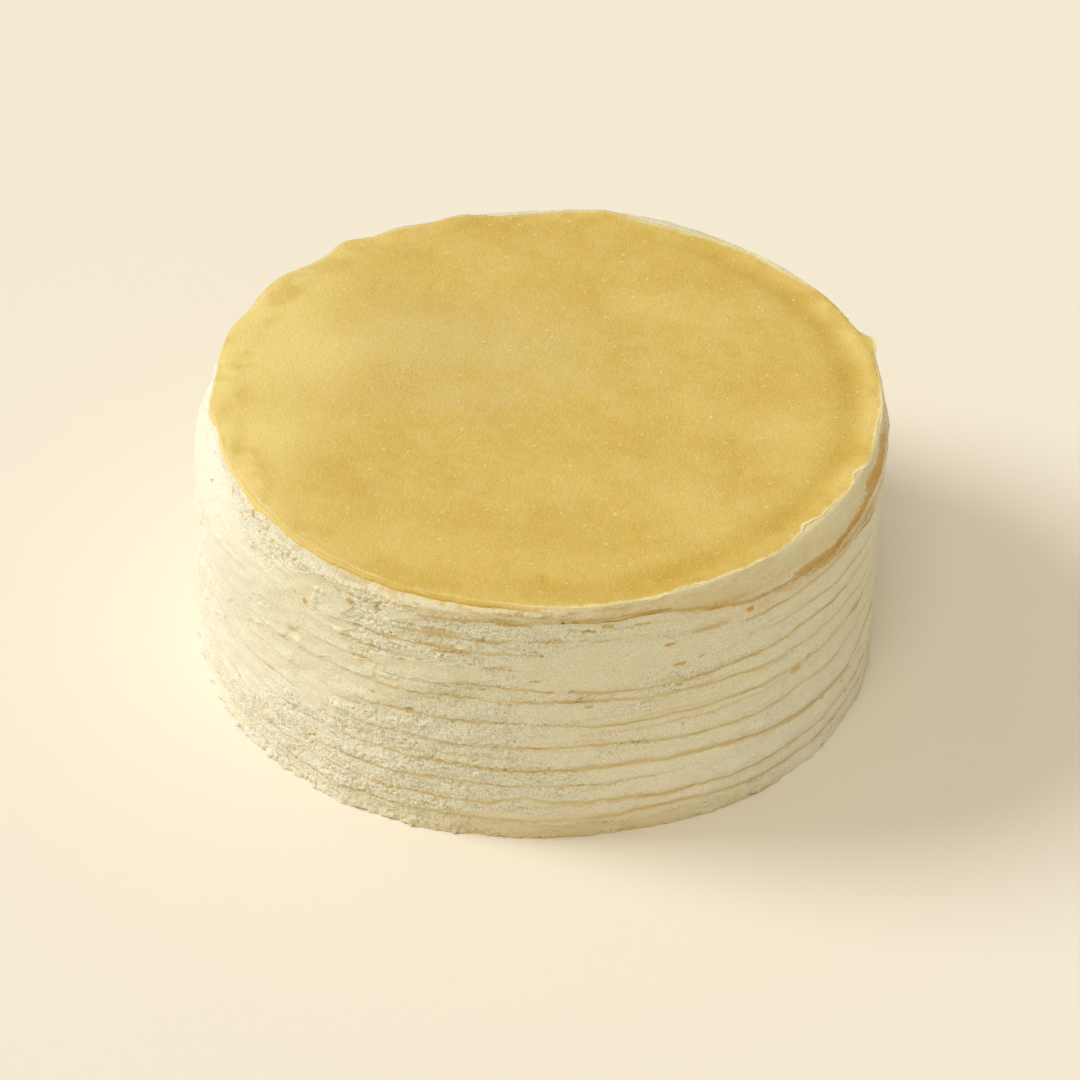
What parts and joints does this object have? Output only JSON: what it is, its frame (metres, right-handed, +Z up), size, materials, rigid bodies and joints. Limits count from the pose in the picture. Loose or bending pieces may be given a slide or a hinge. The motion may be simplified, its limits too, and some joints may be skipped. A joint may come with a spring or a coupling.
{
  "type": "crepe cake",
  "caption": "Whole uncut round crepe cake: thin pancakes stacked with custard cream, side scraped level, bare golden top pancake folded over the shoulder.",
  "frame": {"origin": "centre of the flat base, on the surface the cake stands on", "axes": "+Z up, along the cake's axis; the side that shows the most crepe edges faces -Y"},
  "size_m": [0.2063, 0.2058, 0.0854],
  "materials": {
    "crepe": "soft pan-browned pancake edge, dull; matte_plastic stands in for food",
    "cream": "custard cream, scraped and porous, dull with a faint moist sheen; matte_plastic stands in for food",
    "top_crepe": "golden pancake skin, finely grained, soft satin; matte_plastic stands in for food"
  },
  "bodies": {
    "root": {"crepe_01": "crepe", "crepe_02": "crepe", "crepe_03": "crepe", "crepe_04": "crepe", "crepe_05": "crepe", "crepe_06": "crepe", "crepe_07": "crepe", "crepe_08": "crepe", "crepe_09": "crepe", "crepe_10": "crepe", "crepe_11": "crepe", "crepe_12": "crepe", "crepe_13": "crepe", "cream_01": "cream", "cream_02": "cream", "cream_03": "cream", "cream_04": "cream", "cream_05": "cream", "cream_06": "cream", "cream_07": "cream", "cream_08": "cream", "cream_09": "cream", "cream_10": "cream", "cream_11": "cream", "cream_12": "cream", "cream_13": "cream", "top_crepe": "top_crepe"}
  },
  "joints": []
}
